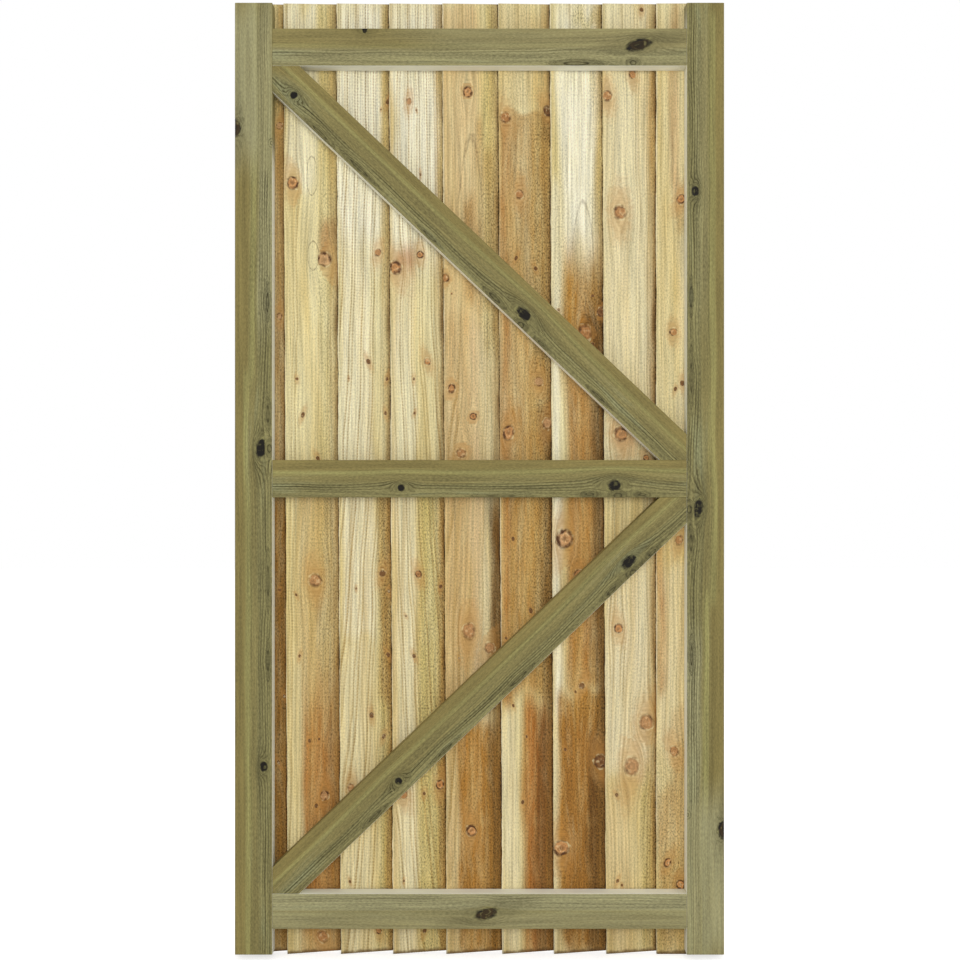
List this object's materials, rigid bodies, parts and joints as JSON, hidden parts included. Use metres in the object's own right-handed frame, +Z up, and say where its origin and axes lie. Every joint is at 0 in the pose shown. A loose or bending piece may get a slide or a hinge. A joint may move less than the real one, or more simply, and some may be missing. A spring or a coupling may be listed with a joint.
{
  "type": "wooden garden gate",
  "caption": "Framed, ledged and braced timber garden gate with upright lapped feather-edge boards on one side.",
  "frame": {"origin": "middle of the left stile's outer edge, the hanging edge, at half the stile's height and half the frame's thickness", "axes": "+X across the gate from the hanging edge to the latch edge, +Y from the frame side to the boarded side, +Z up"},
  "size_m": [0.9224, 0.0564, 1.8005],
  "materials": {
    "frame_timber": "planed softwood, pressure treated, green-brown",
    "board_timber": "sawn softwood feather-edge, pressure treated, cream to golden brown"
  },
  "bodies": {
    "root": {"left_stile": "frame_timber", "right_stile": "frame_timber", "top_rail": "frame_timber", "middle_rail": "frame_timber", "bottom_rail": "frame_timber", "upper_brace": "frame_timber", "lower_brace": "frame_timber", "board_1": "board_timber", "board_2": "board_timber", "board_3": "board_timber", "board_4": "board_timber", "board_5": "board_timber", "board_6": "board_timber", "board_7": "board_timber", "board_8": "board_timber", "board_9": "board_timber"}
  },
  "joints": []
}
